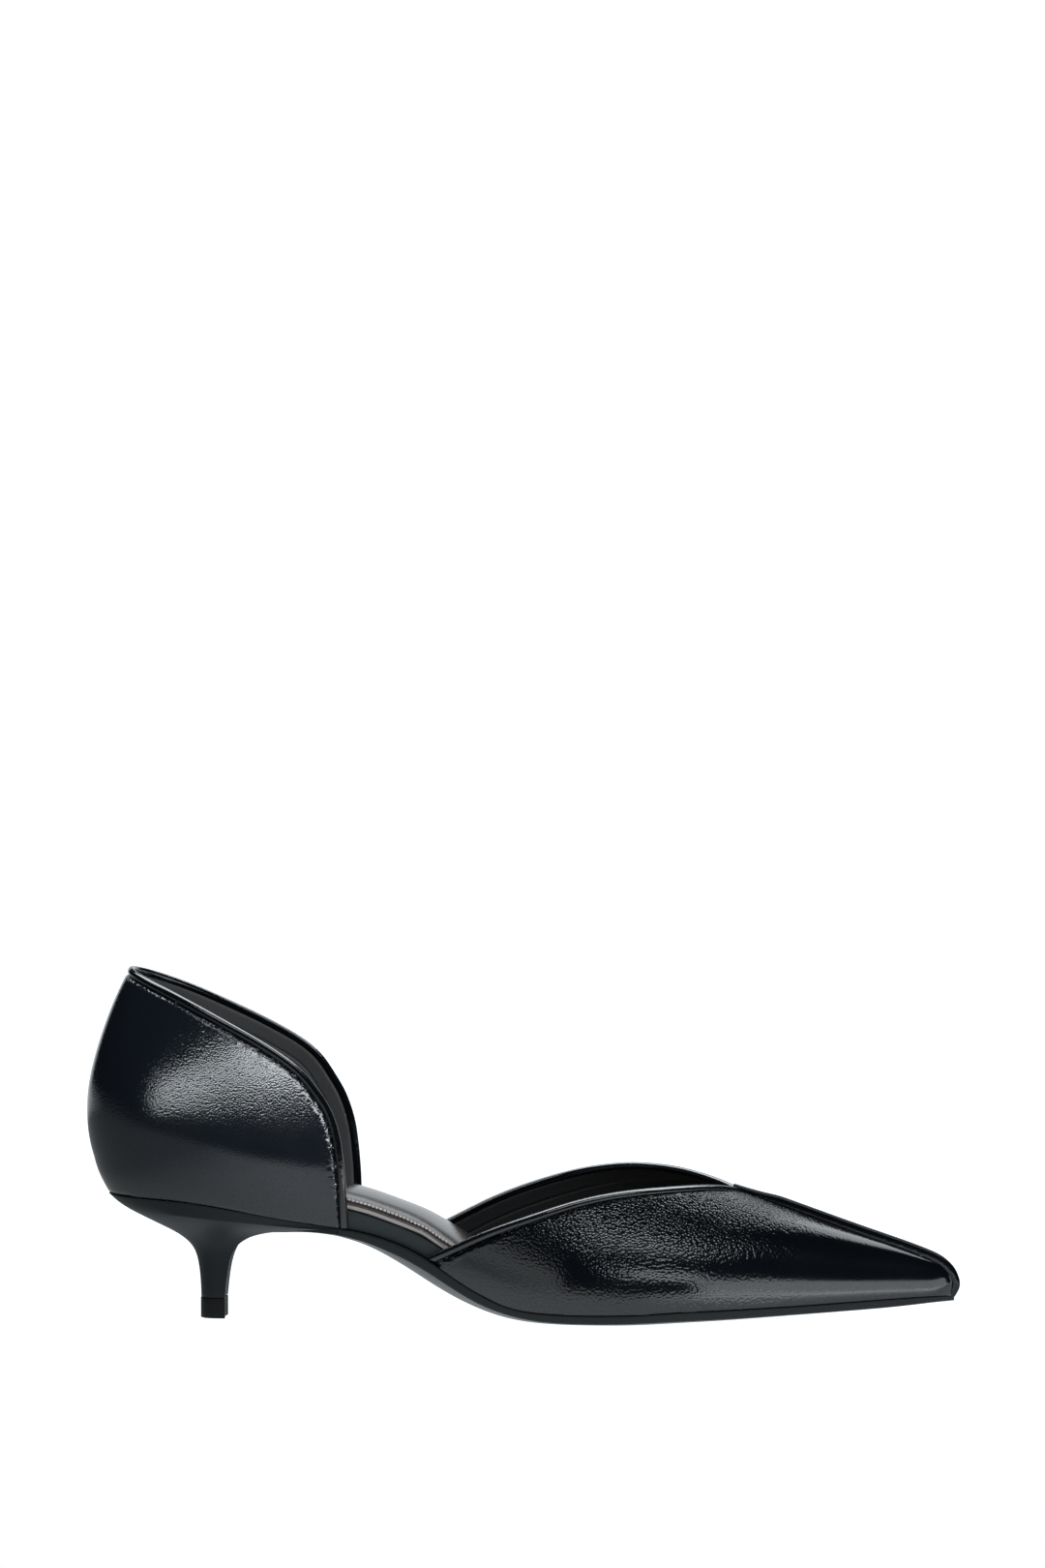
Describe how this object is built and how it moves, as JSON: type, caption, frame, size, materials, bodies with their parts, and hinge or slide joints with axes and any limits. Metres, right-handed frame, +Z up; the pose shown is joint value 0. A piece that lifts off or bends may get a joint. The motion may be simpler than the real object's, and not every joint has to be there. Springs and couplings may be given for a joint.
{
  "type": "kitten heel shoe",
  "caption": "Pointed two-piece leather pump with both sides cut away, a rolled topline, a ridge seam over the toe and a low slim heel.",
  "frame": {"origin": "middle of the bounding box, on the floor", "axes": "+X towards the toe, +Y towards the inner side of the foot, +Z up"},
  "size_m": [0.2658, 0.074, 0.1061],
  "materials": {
    "upper_leather": "semi-gloss, fine pebble grain",
    "binding_leather": "semi-gloss, smooth roll",
    "insole_wrap": "satin, smooth",
    "sock_leather": "semi-gloss, taupe",
    "sole": "satin, smooth edge",
    "heel_cover": "satin, smooth cover",
    "lift_rubber": "matte"
  },
  "bodies": {
    "root": {"quarter": "upper_leather", "quarter_binding": "binding_leather", "vamp": "upper_leather", "vamp_binding": "binding_leather", "toe_seam": "binding_leather", "insole": "insole_wrap", "sock_lining": "sock_leather", "outsole": "sole", "heel": "heel_cover", "top_lift": "lift_rubber"}
  },
  "joints": []
}
